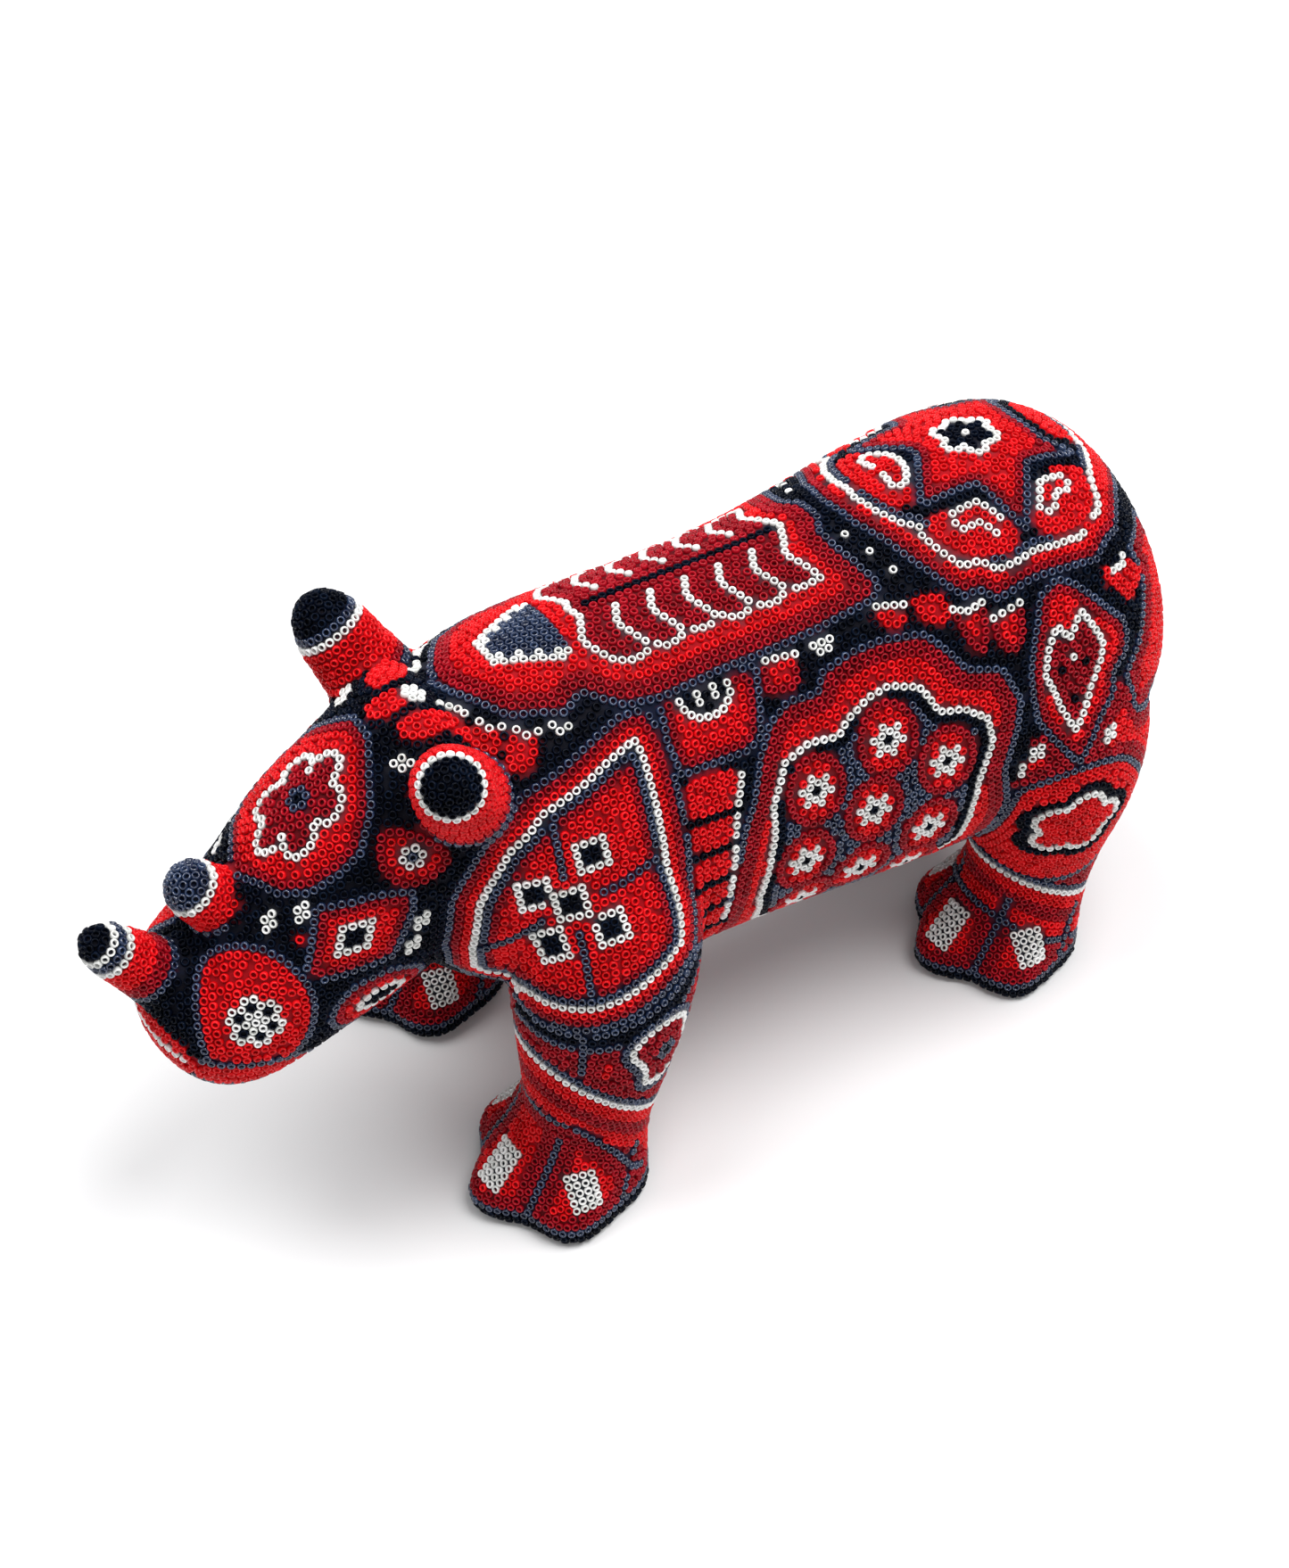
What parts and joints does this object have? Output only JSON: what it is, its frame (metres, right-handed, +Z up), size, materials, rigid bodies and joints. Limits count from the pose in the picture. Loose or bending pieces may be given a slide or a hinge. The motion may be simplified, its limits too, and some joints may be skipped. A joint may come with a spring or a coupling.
{
  "type": "beaded rhinoceros figurine",
  "caption": "Standing rhinoceros figurine: carved wooden pieces pegged together, coated in wax and covered all over with glass seed beads in geometric and floral patterns.",
  "frame": {"origin": "on the floor under the middle of the figurine's bounding box", "axes": "+Z up, the animal faces -Y, its left side is +X"},
  "size_m": [0.1068, 0.2512, 0.1313],
  "materials": {
    "bead_red": "glossy opaque glass, bright red",
    "bead_dark_red": "glossy opaque glass, dark crimson",
    "bead_black": "glossy opaque glass, black",
    "bead_navy": "glossy opaque glass, navy with a pale shine",
    "bead_white": "glossy opaque glass, white",
    "wax": "dark tacky beeswax",
    "carved_wood": "carved softwood, bare at the soles",
    "dowel_wood": "turned hardwood dowel"
  },
  "bodies": {
    "root": {"face_beads": "bead_red", "front_horn_beads": "bead_red", "front_horn_core": "carved_wood", "front_horn_peg": "dowel_wood", "front_horn_wax": "wax", "head_core": "carved_wood", "head_wax": "wax", "hump_beads": "bead_red", "left_ear_beads": "bead_red", "left_ear_core": "carved_wood", "left_ear_peg": "dowel_wood", "left_ear_wax": "wax", "left_flank_beads": "bead_red", "left_front_foot_beads": "bead_red", "left_front_leg_beads": "bead_red", "left_front_leg_core": "carved_wood", "left_front_leg_dowel": "dowel_wood", "left_front_leg_wax": "wax", "left_haunch_beads": "bead_red", "left_hind_foot_beads": "bead_red", "left_hind_leg_beads": "bead_red", "left_hind_leg_core": "carved_wood", "left_hind_leg_dowel": "dowel_wood", "left_hind_leg_wax": "wax", "left_shoulder_beads": "bead_red", "lower_neck_dowel": "dowel_wood", "muzzle_beads": "bead_red", "rear_horn_beads": "bead_red", "rear_horn_core": "carved_wood", "rear_horn_peg": "dowel_wood", "rear_horn_wax": "wax", "right_ear_beads": "bead_red", "right_ear_core": "carved_wood", "right_ear_peg": "dowel_wood", "right_ear_wax": "wax", "right_flank_beads": "bead_red", "right_front_foot_beads": "bead_red", "right_front_leg_beads": "bead_red", "right_front_leg_core": "carved_wood", "right_front_leg_dowel": "dowel_wood", "right_front_leg_wax": "wax", "right_haunch_beads": "bead_red", "right_hind_foot_beads": "bead_red", "right_hind_leg_beads": "bead_red", "right_hind_leg_core": "carved_wood", "right_hind_leg_dowel": "dowel_wood", "right_hind_leg_wax": "wax", "right_shoulder_beads": "bead_red", "rump_beads": "bead_red", "saddle_beads": "bead_red", "tail_beads": "bead_red", "tail_core": "carved_wood", "tail_peg": "dowel_wood", "tail_wax": "wax", "torso_core": "carved_wood", "torso_wax": "wax", "upper_neck_dowel": "dowel_wood"}
  },
  "joints": []
}
